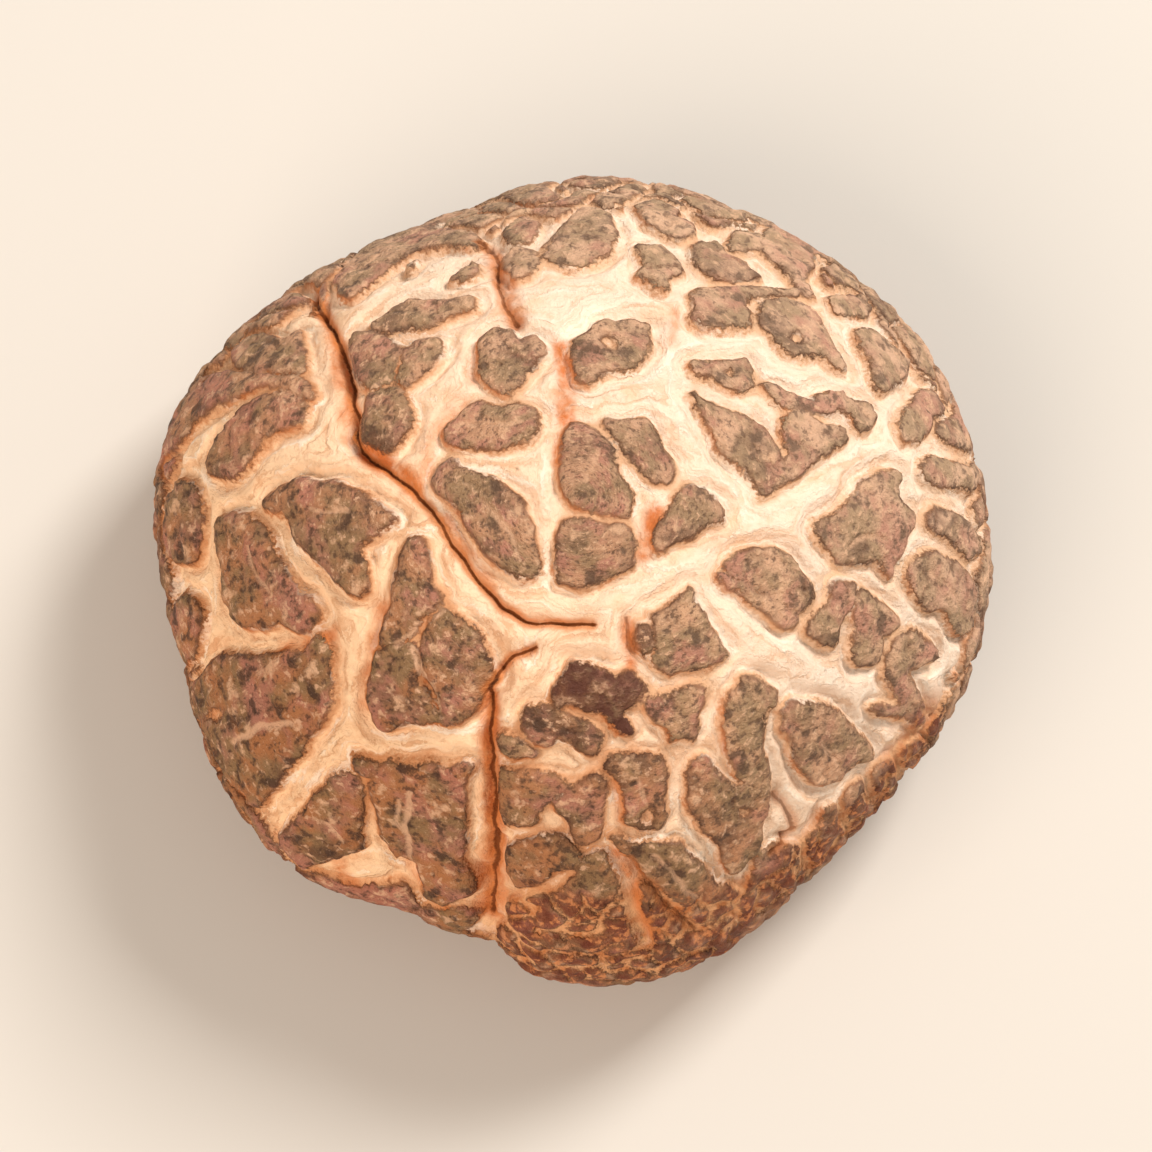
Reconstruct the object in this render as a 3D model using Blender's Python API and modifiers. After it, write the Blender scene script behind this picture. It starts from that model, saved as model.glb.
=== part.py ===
"""Dried flower shiitake mushroom: a thick domed cap with an inrolled margin, a ring of gills under it
and a short stem cut flat. Metres, +Z up; the stem's cut end stands on z = 0, centred on the origin."""

import math

import bpy
from mathutils import Vector, noise

MM = 0.001
GAP = 0.3  # mm left between two pieces that grow together

# Cap, mm
CAP_RADIUS = 22.1
CEILING = 16.2  # height of the flesh over the stem
# (radius, height): down the outside, round the inrolled margin, and up the inside to the axis
CAP_PROFILE = (
    (0.0, 24.0), (4.0, 23.75), (8.0, 22.9), (12.0, 21.2), (15.8, 18.4), (18.8, 15.0),
    (21.1, 11.2), (22.1, 8.0), (21.9, 5.2), (20.7, 2.6), (18.8, 0.9), (16.6, 0.4),
    (14.8, 1.0), (13.7, 2.6), (13.9, 4.5), (15.1, 6.5), (16.5, 8.6), (16.6, 10.9),
    (14.0, 13.5), (10.0, 15.2), (6.0, 16.0), (0.0, CEILING),
)
CAP_RINGS = 29
CAP_STEPS = 96
# (lobes round the cap, height mm, azimuth in degrees) of the outline's departure from round
LOBES = ((1, 0.27, 122), (2, 0.36, 38), (3, 0.49, 108), (4, 0.17, -30), (5, 0.36, 28), (6, 0.20, -139))
MARGIN_LIFT = 0.7  # the margin's edge rises and falls by this much as it goes round
# (x, depth, half width) of the dents in the front of the margin: one narrow split and two shallow bays
DENTS = ((-4.8, 1.3, 1.0), (-9.0, 1.4, 4.0), (12.5, 0.7, 4.5))
UNEVENNESS, UNEVEN_CELL = 0.45, 9.0  # the dried dome's shallow hollows and swellings

# Gills, mm
GILLS = 72
GILL_RINGS = 5
# (radius, height) of the edge under the flesh and of the free lower edge
GILL_ROOT = ((6.5, 15.9 - GAP), (9.9, 15.15 - GAP), (13.7, 13.45 - GAP), (16.5 - GAP, 10.7))
GILL_EDGE = ((6.5, 11.4), (9.0, 9.3), (13.0, 8.1), (15.9, 9.3))
GILL_VALLEY = 0.62  # how far up from edge to root the space between two gills goes

# Stem, mm
STEM_PROFILE = (
    (0.0, 0.0), (4.9, 0.0), (5.25, 0.35), (5.0, 2.2), (4.75, 4.6), (4.7, 7.2), (4.9, 9.8),
    (5.3, 12.4), (5.75, 14.6), (5.8, 15.4), (5.3, 16.0 - GAP), (0.0, 16.1 - GAP),
)
STEM_STEPS = 36
STEM_WAVES = ((2, 0.05, 70), (3, 0.035, 15), (7, 0.025, 130))  # (lobes, share of radius, azimuth)


def smooth(points, count):
    """count points evenly spaced along a Catmull-Rom curve through the given (radius, height) pairs."""
    ends = [points[0]] + list(points) + [points[-1]]
    fine = []
    for a, b, c, d in zip(ends, ends[1:], ends[2:], ends[3:]):
        for k in range(20):
            t = k / 20
            weights = (-t + 2 * t**2 - t**3, 2 - 5 * t**2 + 3 * t**3, t + 4 * t**2 - 3 * t**3, t**3 - t**2)
            fine.append([sum(w * v for w, v in zip(weights, pqrs)) / 2 for pqrs in zip(a, b, c, d)])
    fine.append(list(points[-1]))
    run = [0.0]
    for p, q in zip(fine, fine[1:]):
        run.append(run[-1] + math.dist(p, q))
    out, k = [], 0
    for i in range(count):
        want = run[-1] * i / (count - 1)
        while k < len(run) - 2 and run[k + 1] < want:
            k += 1
        t = (want - run[k]) / (run[k + 1] - run[k])
        out.append(tuple(p + (q - p) * t for p, q in zip(fine[k], fine[k + 1])))
    out[0], out[-1] = points[0], points[-1]
    return out


def ramp(x, low, high):
    t = min(1.0, max(0.0, (x - low) / (high - low)))
    return t * t * (3 - 2 * t)


def lobe_factor(azimuth):
    bulge = sum(h * math.cos(n * azimuth - math.radians(a)) for n, h, a in LOBES)
    return 1 + bulge / CAP_RADIUS


def material(name, colour, roughness):
    made = bpy.data.materials.new(name)
    made.use_nodes = True
    shader = made.node_tree.nodes["Principled BSDF"]
    shader.inputs["Base Color"].default_value = (*colour, 1.0)
    shader.inputs["Roughness"].default_value = roughness
    return made


def add_mesh(name, points, faces, edges=()):
    mesh = bpy.data.meshes.new(name)
    mesh.from_pydata([[c * MM for c in p] for p in points], list(edges), list(faces))
    obj = bpy.data.objects.new(name, mesh)
    collection.objects.link(obj)
    bpy.ops.object.select_all(action="DESELECT")
    obj.select_set(True)
    bpy.context.view_layer.objects.active = obj
    return obj


def lathe(name, profile, steps):
    """The solid that the (radius, height) profile sweeps round +Z."""
    points = [(r, 0.0, z) for r, z in profile]
    obj = add_mesh(name, points, (), [(i, i + 1) for i in range(len(points) - 1)])
    screw = obj.modifiers.new("turn", "SCREW")
    screw.steps = screw.render_steps = steps
    screw.use_merge_vertices = True
    screw.merge_threshold = 0.00001
    bpy.ops.object.modifier_apply(modifier=screw.name)
    return obj


def finish(obj, look):
    obj.data.materials.append(look)
    for face in obj.data.polygons:
        face.use_smooth = True
    obj.data.update()


for old in list(bpy.data.objects):
    bpy.data.objects.remove(old, do_unlink=True)
collection = bpy.data.collections.new("dried_flower_shiitake")
bpy.context.scene.collection.children.link(collection)

# Cap: the turned profile, then its lobes, its wavy margin, the dents in it and a dried dome's hollows.
cap = lathe("cap", smooth(CAP_PROFILE, CAP_RINGS), CAP_STEPS)
for vertex in cap.data.vertices:
    x, y, z = vertex.co / MM
    radius, azimuth = math.hypot(x, y), math.atan2(y, x)
    outside = z > 16.5 or radius > 17.5
    grow = 1 + (lobe_factor(azimuth) - 1) * ramp(radius, 3, 20)
    x, y = x * grow, y * grow
    dent = 0.0
    if y < 0:
        dent = sum(d * math.exp(-(((x - at) / half) ** 2)) for at, d, half in DENTS) * ramp(radius, 13, 21)
    if outside and radius > 0.1:
        swell = UNEVENNESS * noise.noise(Vector((x, y, z)) / UNEVEN_CELL) * ramp(z, 2, 9)
        pull = swell * radius / CAP_RADIUS - dent
        x, y = x * (1 + pull / radius), y * (1 + pull / radius)
        z += swell * (1 - radius / CAP_RADIUS)
    lift = MARGIN_LIFT * (1 + 0.6 * math.cos(3 * azimuth + 0.7) + 0.4 * math.cos(5 * azimuth + 2.1))
    z += lift * ramp(9 - z, 0, 8.6) * ramp(radius, 12, 15)
    vertex.co = Vector((x, y, z)) * MM
finish(cap, material("cap_skin_and_flesh", (0.42, 0.27, 0.17), 0.8))

# Gills: one pleated ring, each pleat a gill that hangs from the flesh, clear of the cap and the stem.
roots, edges = smooth(GILL_ROOT, GILL_RINGS), smooth(GILL_EDGE, GILL_RINGS)
columns, points, faces = 2 * GILLS, [], []
for i in range(columns):
    azimuth = 2 * math.pi * i / columns
    up = GILL_VALLEY if i % 2 else 0.0
    under = [(p[0] + (q[0] - p[0]) * up, p[1] + (q[1] - p[1]) * up) for p, q in zip(edges, roots)]
    for radius, height in roots + under[::-1]:
        grow = 1 + (lobe_factor(azimuth) - 1) * ramp(radius, 3, 20)
        points.append((radius * grow * math.cos(azimuth), radius * grow * math.sin(azimuth), height))
ring = 2 * GILL_RINGS
for i in range(columns):
    here, there = i * ring, (i + 1) % columns * ring
    for k in range(ring):
        n = (k + 1) % ring
        faces.append((here + k, here + n, there + n, there + k))
gills = add_mesh("gills", points, faces)
finish(gills, material("dried_gills", (0.55, 0.37, 0.19), 0.85))

# Stem: a stubby stalk, widening into the flesh and cut square across its foot.
stem = lathe("stem", STEM_PROFILE[::-1], STEM_STEPS)
for vertex in stem.data.vertices:
    x, y, z = vertex.co / MM
    azimuth = math.atan2(y, x)
    below_flesh = 1 - ramp(z, 11, 15)
    swell = 1 + below_flesh * sum(h * math.cos(n * azimuth - math.radians(a)) for n, h, a in STEM_WAVES)
    bend = 0.45 * math.sin(math.pi * min(1.0, z / 14.0))
    vertex.co = Vector((x * swell + bend, y * swell, z)) * MM
finish(stem, material("dried_stem", (0.50, 0.33, 0.18), 0.85))
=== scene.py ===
"""Looks of a dried flower shiitake: a domed cap whose brown skin dried and split into plates over cream
flesh, thin gills and a short fibrous stem, on a pale floor in soft studio light. Metres, +Z up."""

import math
import random

import bpy
import numpy as np
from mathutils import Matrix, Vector, kdtree, noise
from mathutils.bvhtree import BVHTree


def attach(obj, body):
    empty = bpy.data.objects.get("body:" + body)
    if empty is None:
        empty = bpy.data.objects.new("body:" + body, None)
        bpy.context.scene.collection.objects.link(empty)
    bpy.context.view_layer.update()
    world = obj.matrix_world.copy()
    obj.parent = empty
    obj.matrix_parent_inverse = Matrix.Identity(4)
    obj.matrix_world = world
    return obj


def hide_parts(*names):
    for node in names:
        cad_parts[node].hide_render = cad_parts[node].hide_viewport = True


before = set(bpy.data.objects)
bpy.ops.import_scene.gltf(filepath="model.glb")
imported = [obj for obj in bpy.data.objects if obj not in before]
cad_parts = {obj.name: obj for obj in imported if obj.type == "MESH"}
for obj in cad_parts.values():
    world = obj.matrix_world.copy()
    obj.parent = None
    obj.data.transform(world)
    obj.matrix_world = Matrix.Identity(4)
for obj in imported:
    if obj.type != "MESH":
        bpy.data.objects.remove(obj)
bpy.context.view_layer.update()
noise.seed_set(1)  # drift's noise starts from the time of day otherwise

MM = 0.001
SIGHT_ELEVATION = math.radians(76)
SIGHT_DISTANCE = 430.0  # mm from the eye to the middle of the sight plane below
TO_EYE = np.array((0.0, -math.cos(SIGHT_ELEVATION), math.sin(SIGHT_ELEVATION)))
SIGHT_UP = np.array((0.0, math.sin(SIGHT_ELEVATION), math.cos(SIGHT_ELEVATION)))
SIGHT_MIDDLE = np.array((0.0, 0.0, 7.5))  # mm
EYE = SIGHT_MIDDLE + SIGHT_DISTANCE * TO_EYE
VOXEL = 0.2  # mm, of the cap's remeshed skin
MOST_TRIANGLES = 190000  # in the cap
PLATE_GROWTH = 0.17  # mm that each plate's edge lies outside its outline below
FAR = 4.0  # mm that stands for nowhere near a plate or a fissure
MOST_TRIED = 9000  # points at which a random network may put a cell

# The plates that the skin tore into, from the eye's side: (tone -1 dark to 1 pale, corners). All points
# below are (across, up) in mm on a plane square to the line of sight through the cap's middle, and are
# dropped onto the cap.
PLATES = (
    # upper left
    (0.1, ((-18.6, 11.9), (-17.9, 12.8), (-16.8, 13.0), (-15.7, 12.7), (-14.9, 13.3), (-14.7, 12.0),
        (-14.6, 11.0), (-15.6, 11.1), (-17.2, 11.1), (-18.3, 11.4))),
    (-0.1, ((-22.4, 6.4), (-21.9, 8.2), (-20.9, 9.9), (-19.8, 10.9), (-18.4, 10.9), (-17.2, 10.8),
        (-15.2, 10.7), (-14.4, 10.2), (-14.3, 9.6), (-15.5, 10.2), (-16.8, 10.3), (-18.2, 9.9),
        (-19.4, 9.3), (-20.6, 8.4), (-21.5, 7.2))),
    (-0.1, ((-19.9, 6.4), (-19.3, 7.5), (-18.3, 8.7), (-17.0, 9.6), (-15.8, 9.9), (-14.7, 9.5),
        (-14.8, 8.4), (-15.9, 8.1), (-17.0, 7.3), (-17.7, 6.4), (-18.3, 5.6), (-19.1, 5.3), (-19.8, 5.7))),
    (0.0, ((-13.0, 16.0), (-12.3, 16.8), (-11.2, 17.9), (-10.0, 18.6), (-9.2, 18.9), (-7.0, 18.6),
        (-5.8, 18.6), (-5.1, 18.2), (-5.6, 17.9), (-7.0, 17.9), (-8.5, 17.6), (-9.8, 17.0), (-10.8, 16.2),
        (-12.0, 15.1), (-12.7, 15.3))),
    (0.3, ((-6.7, 16.0), (-6.0, 16.7), (-5.3, 17.0), (-5.3, 16.5), (-6.0, 16.1))),
    (0.2, ((-11.0, 13.7), (-9.9, 14.4), (-8.9, 14.9), (-7.4, 14.8), (-5.6, 15.1), (-5.5, 14.6),
        (-6.8, 14.2), (-7.6, 13.7), (-8.8, 13.3), (-9.8, 13.2), (-10.7, 13.2))),
    (-0.1, ((-12.2, 13.0), (-11.2, 13.1), (-10.2, 12.8), (-9.4, 12.3), (-9.7, 11.7), (-10.0, 11.0),
        (-10.0, 10.4), (-10.9, 10.4), (-11.6, 10.7), (-12.0, 11.4), (-12.2, 12.2))),
    (0.0, ((-9.2, 12.2), (-8.3, 12.7), (-7.3, 12.8), (-7.3, 12.2), (-7.9, 11.5), (-8.6, 10.8), (-9.1, 10.3),
        (-9.6, 10.5), (-9.3, 11.3))),
    (-0.2, ((-11.2, 9.9), (-10.4, 10.0), (-9.3, 9.9), (-9.1, 9.1), (-9.0, 8.5), (-9.2, 8.0), (-9.6, 7.3),
        (-10.0, 6.9), (-10.8, 7.0), (-11.6, 7.4), (-12.0, 8.0), (-11.6, 8.7), (-11.3, 9.3))),
    (0.0, ((-5.2, 12.6), (-4.3, 13.3), (-3.6, 13.3), (-3.1, 12.7), (-2.3, 12.9), (-1.7, 12.2), (-2.2, 11.6),
        (-2.9, 11.0), (-3.0, 10.3), (-3.8, 9.9), (-4.8, 10.4), (-5.2, 11.3))),
    (0.0, ((-6.6, 8.4), (-6.0, 9.0), (-5.2, 9.2), (-4.3, 8.9), (-3.3, 9.2), (-2.4, 9.1), (-2.2, 8.0),
        (-2.9, 7.3), (-4.0, 7.0), (-5.2, 7.0), (-6.2, 7.1), (-6.9, 7.3), (-6.9, 7.9))),
    (0.1, ((-7.3, 5.9), (-6.8, 6.2), (-6.5, 5.6), (-5.7, 5.5), (-4.6, 5.2), (-3.6, 4.7), (-3.0, 4.0),
        (-2.7, 3.0), (-2.3, 1.6), (-2.1, 0.4), (-2.4, 0.0), (-3.2, -0.1), (-3.7, 0.4), (-4.8, 1.2),
        (-5.5, 2.3), (-6.2, 3.4), (-6.8, 4.2), (-7.6, 5.0))),
    (0.2, ((-4.1, 17.3), (-3.4, 17.7), (-2.3, 17.6), (-2.0, 17.0), (-2.4, 16.4), (-3.2, 16.2),
        (-3.9, 16.7))),
    (0.8, ((-3.9, 18.4), (-3.0, 19.4), (-2.1, 19.0), (-2.4, 18.2), (-3.3, 18.0))),
    (0.0, ((-4.6, 20.6), (-3.3, 21.0), (-1.8, 20.9), (-1.0, 20.5), (-2.0, 20.2), (-3.3, 20.3))),
    (-0.2, ((-16.9, 4.1), (-16.0, 4.8), (-14.8, 5.1), (-13.7, 5.0), (-12.6, 4.9), (-11.6, 4.4),
        (-10.7, 3.7), (-9.7, 3.0), (-10.5, 2.8), (-11.4, 2.3), (-12.0, 1.5), (-11.4, 0.6), (-11.2, -0.6),
        (-11.9, -1.0), (-12.9, -0.3), (-13.5, 0.5), (-14.3, 1.3), (-15.0, 2.0), (-15.5, 3.0),
        (-16.3, 3.6))),
    (0.0, ((-19.4, 2.9), (-18.7, 3.2), (-17.6, 3.2), (-16.9, 2.6), (-16.6, 1.7), (-16.2, 0.8), (-15.6, 0.0),
        (-15.0, -0.9), (-14.4, -1.3), (-14.0, -2.1), (-14.4, -2.9), (-15.1, -2.8), (-15.9, -2.3),
        (-16.8, -2.6), (-17.8, -2.7), (-18.6, -2.2), (-19.0, -1.2), (-19.0, 0.0), (-19.3, 1.5))),
    (0.0, ((-22.0, 4.2), (-21.4, 5.1), (-20.6, 4.9), (-20.4, 3.5), (-20.3, 2.0), (-20.6, 0.8), (-21.8, 0.9),
        (-22.3, 2.0))),
    # upper right
    (0.2, ((-1.8, 17.3), (-1.2, 18.3), (-0.3, 19.2), (0.4, 19.8), (1.2, 19.8), (1.9, 19.3), (2.1, 18.5),
        (1.8, 17.7), (1.0, 17.1), (0.0, 16.8), (-1.0, 16.9))),
    (0.4, ((1.0, 20.2), (2.0, 20.8), (3.0, 21.1), (3.6, 20.9), (2.8, 20.4), (1.8, 20.1))),
    (0.2, ((5.7, 20.4), (7.0, 20.2), (8.5, 19.9), (9.6, 19.5), (9.0, 19.3), (7.8, 19.4), (6.6, 19.8))),
    (0.3, ((3.3, 20.0), (4.4, 20.2), (5.3, 19.9), (5.4, 19.3), (6.3, 19.0), (6.2, 18.4), (5.4, 18.2),
        (4.7, 18.6), (4.0, 19.2))),
    (0.3, ((3.4, 17.9), (4.2, 17.8), (5.0, 17.5), (5.5, 16.9), (5.7, 16.4), (5.0, 16.3), (4.9, 15.6),
        (4.2, 15.8), (3.8, 16.2), (3.2, 16.3), (3.9, 16.9), (3.4, 17.4))),
    (-0.6, ((6.4, 17.8), (7.0, 18.0), (7.7, 17.9), (8.1, 17.3), (9.0, 17.0), (9.5, 16.5), (9.9, 16.1),
        (8.6, 16.0), (7.6, 16.1), (6.9, 16.5), (6.4, 17.1))),
    (0.4, ((8.3, 17.7), (8.7, 18.6), (9.5, 18.5), (10.0, 18.0), (9.8, 17.6), (9.0, 17.6))),
    (0.1, ((10.0, 18.3), (10.8, 18.8), (11.6, 18.4), (12.6, 18.1), (12.8, 17.5), (12.6, 16.6), (12.3, 16.0),
        (11.5, 16.2), (11.1, 16.8), (10.4, 17.2), (10.0, 17.6))),
    (0.2, ((11.8, 16.0), (12.4, 15.8), (12.8, 15.1), (12.5, 15.0), (12.0, 15.5))),
    (0.2, ((6.3, 15.2), (6.6, 14.5), (6.4, 13.9), (7.0, 13.5), (8.3, 13.5), (9.2, 13.6), (9.3, 14.2),
        (9.0, 14.8), (9.5, 15.1), (12.0, 15.2), (12.0, 15.5), (9.4, 15.5), (8.0, 15.5), (7.0, 15.5))),
    (0.0, ((9.9, 14.0), (10.2, 14.7), (11.2, 14.8), (12.2, 14.7), (13.0, 14.1), (13.5, 13.2), (14.0, 12.3),
        (14.6, 11.2), (14.2, 11.2), (13.5, 12.0), (12.6, 11.9), (11.8, 12.0), (11.0, 12.6), (10.5, 13.2),
        (10.1, 13.5))),
    (0.3, ((13.6, 15.0), (14.5, 15.1), (15.3, 15.0), (15.8, 14.4), (15.6, 14.1), (14.8, 14.1),
        (14.1, 14.3))),
    (0.1, ((15.1, 13.2), (16.0, 13.2), (16.8, 12.7), (17.3, 12.2), (17.9, 11.5), (17.7, 10.9), (17.0, 10.2),
        (16.3, 10.2), (16.0, 11.0), (16.0, 11.8), (15.5, 12.3))),
    (0.1, ((6.3, 11.6), (7.3, 11.6), (8.5, 11.5), (9.1, 11.7), (9.4, 11.2), (9.4, 10.4), (8.9, 10.0),
        (8.1, 10.3), (7.2, 10.8), (6.5, 11.0))),
    (0.0, ((6.3, 10.0), (7.0, 9.4), (8.0, 8.9), (8.9, 8.6), (9.5, 8.3), (10.2, 7.7), (10.7, 6.9),
        (10.9, 6.3), (10.6, 5.9), (10.3, 5.4), (10.6, 4.7), (9.9, 4.3), (9.8, 5.0), (9.4, 5.7), (8.6, 6.2),
        (7.8, 7.0), (7.3, 8.0), (6.9, 9.0))),
    (0.1, ((11.5, 8.6), (12.2, 8.9), (12.9, 8.4), (13.4, 8.0), (14.3, 7.9), (14.6, 7.4), (13.9, 7.2),
        (13.2, 6.6), (12.4, 5.7), (11.5, 5.2), (10.5, 4.7), (9.9, 4.3), (9.9, 5.0), (10.6, 5.9),
        (11.6, 6.3), (11.4, 7.3), (11.3, 8.0))),
    (0.0, ((10.0, 10.4), (10.7, 10.3), (11.4, 9.8), (12.0, 9.5), (12.9, 9.4), (13.1, 9.8), (14.2, 9.8),
        (15.1, 9.4), (15.9, 9.2), (16.1, 8.8), (15.8, 8.0), (15.2, 7.9), (15.0, 8.6), (14.4, 9.0),
        (13.5, 9.0), (12.2, 9.0), (11.2, 9.2))),
    (0.1, ((18.6, 10.0), (19.4, 9.9), (19.8, 9.1), (19.2, 8.5), (18.8, 7.8), (18.4, 7.3), (17.8, 7.4),
        (17.6, 8.2), (18.0, 9.0))),
    (0.0, ((19.4, 7.9), (20.2, 8.4), (20.6, 9.0), (21.1, 8.3), (21.4, 7.4), (21.4, 6.9), (20.7, 6.9),
        (20.0, 7.4))),
    (0.0, ((18.7, 5.7), (19.1, 6.3), (20.2, 6.2), (21.0, 5.8), (21.7, 5.9), (21.8, 5.2), (21.2, 4.7),
        (20.4, 4.8), (19.4, 5.0), (18.9, 5.2))),
    (0.0, ((13.0, 2.5), (14.0, 3.1), (14.6, 3.6), (14.9, 4.1), (15.3, 4.9), (16.2, 5.3), (17.1, 5.7),
        (17.7, 5.4), (17.2, 4.9), (17.5, 4.0), (18.3, 3.3), (18.2, 2.8), (17.7, 2.2), (17.8, 1.6),
        (17.3, 0.9), (17.1, 0.1), (16.7, 0.4), (16.3, 1.0), (15.3, 0.8), (14.2, 0.7), (13.9, 1.4),
        (13.3, 2.0))),
    (0.1, ((18.9, 3.0), (19.4, 3.6), (20.2, 3.5), (21.0, 2.9), (21.6, 2.2), (21.9, 1.4), (21.3, 1.0),
        (20.7, 1.6), (20.0, 2.2), (19.4, 2.5))),
    (0.1, ((18.2, 0.7), (19.0, 1.2), (19.9, 1.0), (20.6, 0.6), (21.2, 0.1), (21.4, -0.8), (21.5, -1.8),
        (21.2, -2.8), (20.8, -3.0), (20.3, -2.4), (19.8, -1.7), (19.0, -1.7), (18.3, -1.0), (18.0, -0.1))),
    (0.1, ((-0.1, 12.8), (0.8, 13.2), (1.4, 13.8), (2.6, 13.8), (3.9, 13.7), (3.9, 13.2), (3.7, 12.2),
        (3.4, 11.6), (2.6, 11.4), (1.8, 11.1), (1.2, 11.0), (0.7, 10.6), (0.1, 10.8), (-0.1, 11.8))),
    (0.0, ((-0.6, 7.6), (-0.1, 8.2), (0.8, 7.9), (1.4, 7.6), (1.8, 6.9), (2.0, 6.0), (2.4, 5.2), (2.8, 4.6),
        (2.9, 4.0), (2.5, 3.2), (1.4, 3.5), (0.4, 3.9), (-0.6, 4.2), (-0.8, 5.2), (-0.7, 6.5))),
    (0.0, ((1.7, 8.4), (2.6, 8.2), (3.3, 8.3), (3.9, 8.3), (4.3, 7.5), (4.6, 6.8), (5.0, 6.1), (5.2, 5.6),
        (4.9, 5.2), (4.2, 5.2), (3.6, 5.8), (2.9, 6.6), (2.2, 7.4))),
    (-0.1, ((6.0, 4.8), (6.7, 4.6), (7.5, 4.1), (7.8, 3.5), (7.8, 3.0), (6.9, 2.8), (6.1, 2.3), (5.2, 1.8),
        (4.5, 1.4), (4.3, 1.9), (4.6, 2.7), (5.0, 3.5), (5.5, 4.3))),
    (0.0, ((-0.8, 2.4), (-0.4, 3.0), (0.5, 3.0), (1.6, 2.6), (2.6, 2.6), (3.0, 1.8), (3.1, 1.0), (2.9, 0.4),
        (2.0, 0.1), (1.0, -0.2), (-0.1, -0.5), (-0.8, -0.3), (-0.8, 1.0))),
    # lower left
    (0.1, ((-21.0, -1.0), (-20.2, -1.8), (-20.4, -3.0), (-20.5, -3.9), (-21.2, -4.7), (-21.8, -4.0),
        (-22.2, -3.0), (-22.2, -2.3), (-21.7, -1.8))),
    (-0.2, ((-19.0, -4.2), (-17.3, -4.5), (-16.0, -4.2), (-14.7, -4.3), (-13.9, -3.3), (-13.4, -4.2),
        (-13.4, -5.7), (-13.4, -7.0), (-14.0, -8.0), (-14.7, -9.0), (-15.2, -10.0), (-16.0, -11.0),
        (-16.8, -12.0), (-17.3, -12.4), (-17.9, -11.6), (-18.7, -10.8), (-19.4, -9.7), (-19.9, -8.7),
        (-20.2, -7.7), (-20.9, -7.0), (-20.7, -6.0), (-20.0, -5.3), (-19.7, -4.8))),
    (0.0, ((-9.7, 0.2), (-9.3, 1.5), (-8.9, 2.0), (-8.3, 1.9), (-8.1, 1.0), (-8.0, 0.3), (-7.8, -0.5),
        (-7.3, -1.2), (-7.8, -1.7), (-8.4, -2.2), (-8.8, -2.9), (-9.4, -3.3), (-9.9, -3.8), (-10.5, -3.6),
        (-10.2, -2.4), (-9.8, -1.2))),
    (-0.3, ((-7.2, -1.7), (-6.3, -2.2), (-5.7, -2.8), (-5.2, -3.3), (-4.8, -4.2), (-4.8, -5.0),
        (-4.4, -5.4), (-4.8, -6.0), (-5.2, -6.8), (-5.8, -7.3), (-6.7, -7.7), (-7.2, -7.9), (-7.5, -7.0),
        (-7.5, -6.2), (-7.8, -5.7), (-8.3, -5.2), (-8.2, -4.0), (-8.2, -3.3), (-7.8, -2.5))),
    (-0.3, ((-9.7, -3.9), (-8.7, -3.7), (-8.5, -4.7), (-8.7, -5.7), (-8.2, -6.2), (-8.0, -7.0),
        (-7.2, -7.9), (-8.3, -7.7), (-9.2, -7.7), (-9.8, -8.0), (-10.5, -8.2), (-11.0, -7.4), (-11.3, -7.0),
        (-11.2, -6.0), (-10.8, -5.0), (-10.8, -4.3), (-10.2, -4.0))),
    (-0.2, ((-13.3, -11.0), (-12.3, -10.7), (-11.7, -11.0), (-11.4, -11.7), (-11.7, -13.0), (-11.6, -14.0),
        (-11.7, -14.8), (-12.3, -15.0), (-13.2, -15.3), (-14.0, -15.5), (-14.7, -15.7), (-15.3, -15.3),
        (-15.9, -14.6), (-15.8, -13.7), (-15.0, -13.2), (-14.2, -12.2), (-13.7, -11.5))),
    (-0.5, ((-12.0, -9.8), (-11.5, -9.9), (-10.9, -10.2), (-10.7, -10.6), (-11.4, -10.7), (-12.0, -10.4))),
    (-0.1, ((-10.6, -10.3), (-9.7, -10.1), (-9.0, -10.3), (-8.0, -10.2), (-7.3, -10.5), (-6.5, -10.5),
        (-5.8, -10.3), (-6.0, -11.0), (-6.3, -11.4), (-6.1, -12.4), (-6.0, -13.3), (-6.1, -14.4),
        (-6.3, -15.3), (-5.7, -16.0), (-5.5, -16.9), (-6.3, -17.4), (-7.2, -17.7), (-8.0, -17.5),
        (-8.3, -16.3), (-8.3, -15.7), (-9.0, -15.2), (-9.8, -15.0), (-10.2, -14.0), (-10.5, -13.2),
        (-10.7, -12.2), (-11.0, -11.3))),
    (0.5, ((-4.2, -8.8), (-3.3, -8.7), (-2.5, -9.2), (-2.3, -9.7), (-3.2, -9.7), (-4.0, -9.5))),
    (0.1, ((-4.0, -10.5), (-3.0, -10.7), (-1.8, -10.8), (-0.7, -11.0), (-0.2, -11.5), (-0.7, -11.7),
        (-1.5, -12.0), (-2.2, -12.7), (-2.3, -13.2), (-3.2, -13.4), (-3.8, -13.5), (-4.2, -12.7),
        (-4.2, -11.5))),
    (0.1, ((-1.0, -12.2), (-0.3, -11.7), (0.3, -11.3), (1.0, -10.7), (1.5, -11.0), (1.4, -12.0),
        (1.2, -12.8), (1.3, -13.5), (1.0, -14.2), (0.3, -14.5), (0.0, -14.0), (-0.3, -13.2),
        (-0.8, -12.8))),
    (0.0, ((-3.2, -14.5), (-2.3, -14.3), (-1.7, -14.0), (-0.7, -14.0), (0.0, -14.8), (0.0, -15.7),
        (-1.0, -15.8), (-1.8, -16.3), (-2.7, -16.7), (-3.3, -16.7), (-3.7, -15.8), (-3.8, -15.0))),
    (-1.0, ((-0.3, -4.7), (0.2, -4.8), (1.3, -5.2), (2.3, -5.5), (2.8, -5.2), (3.3, -5.7), (3.7, -6.2),
        (3.3, -6.8), (2.7, -7.0), (2.2, -7.3), (2.7, -8.0), (3.0, -8.5), (2.3, -8.3), (1.8, -7.7),
        (1.2, -7.2), (0.5, -7.0), (-0.2, -6.7), (-0.5, -6.8), (-1.0, -7.0), (-1.2, -6.3), (-0.7, -5.7),
        (-0.2, -5.2))),
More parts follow.
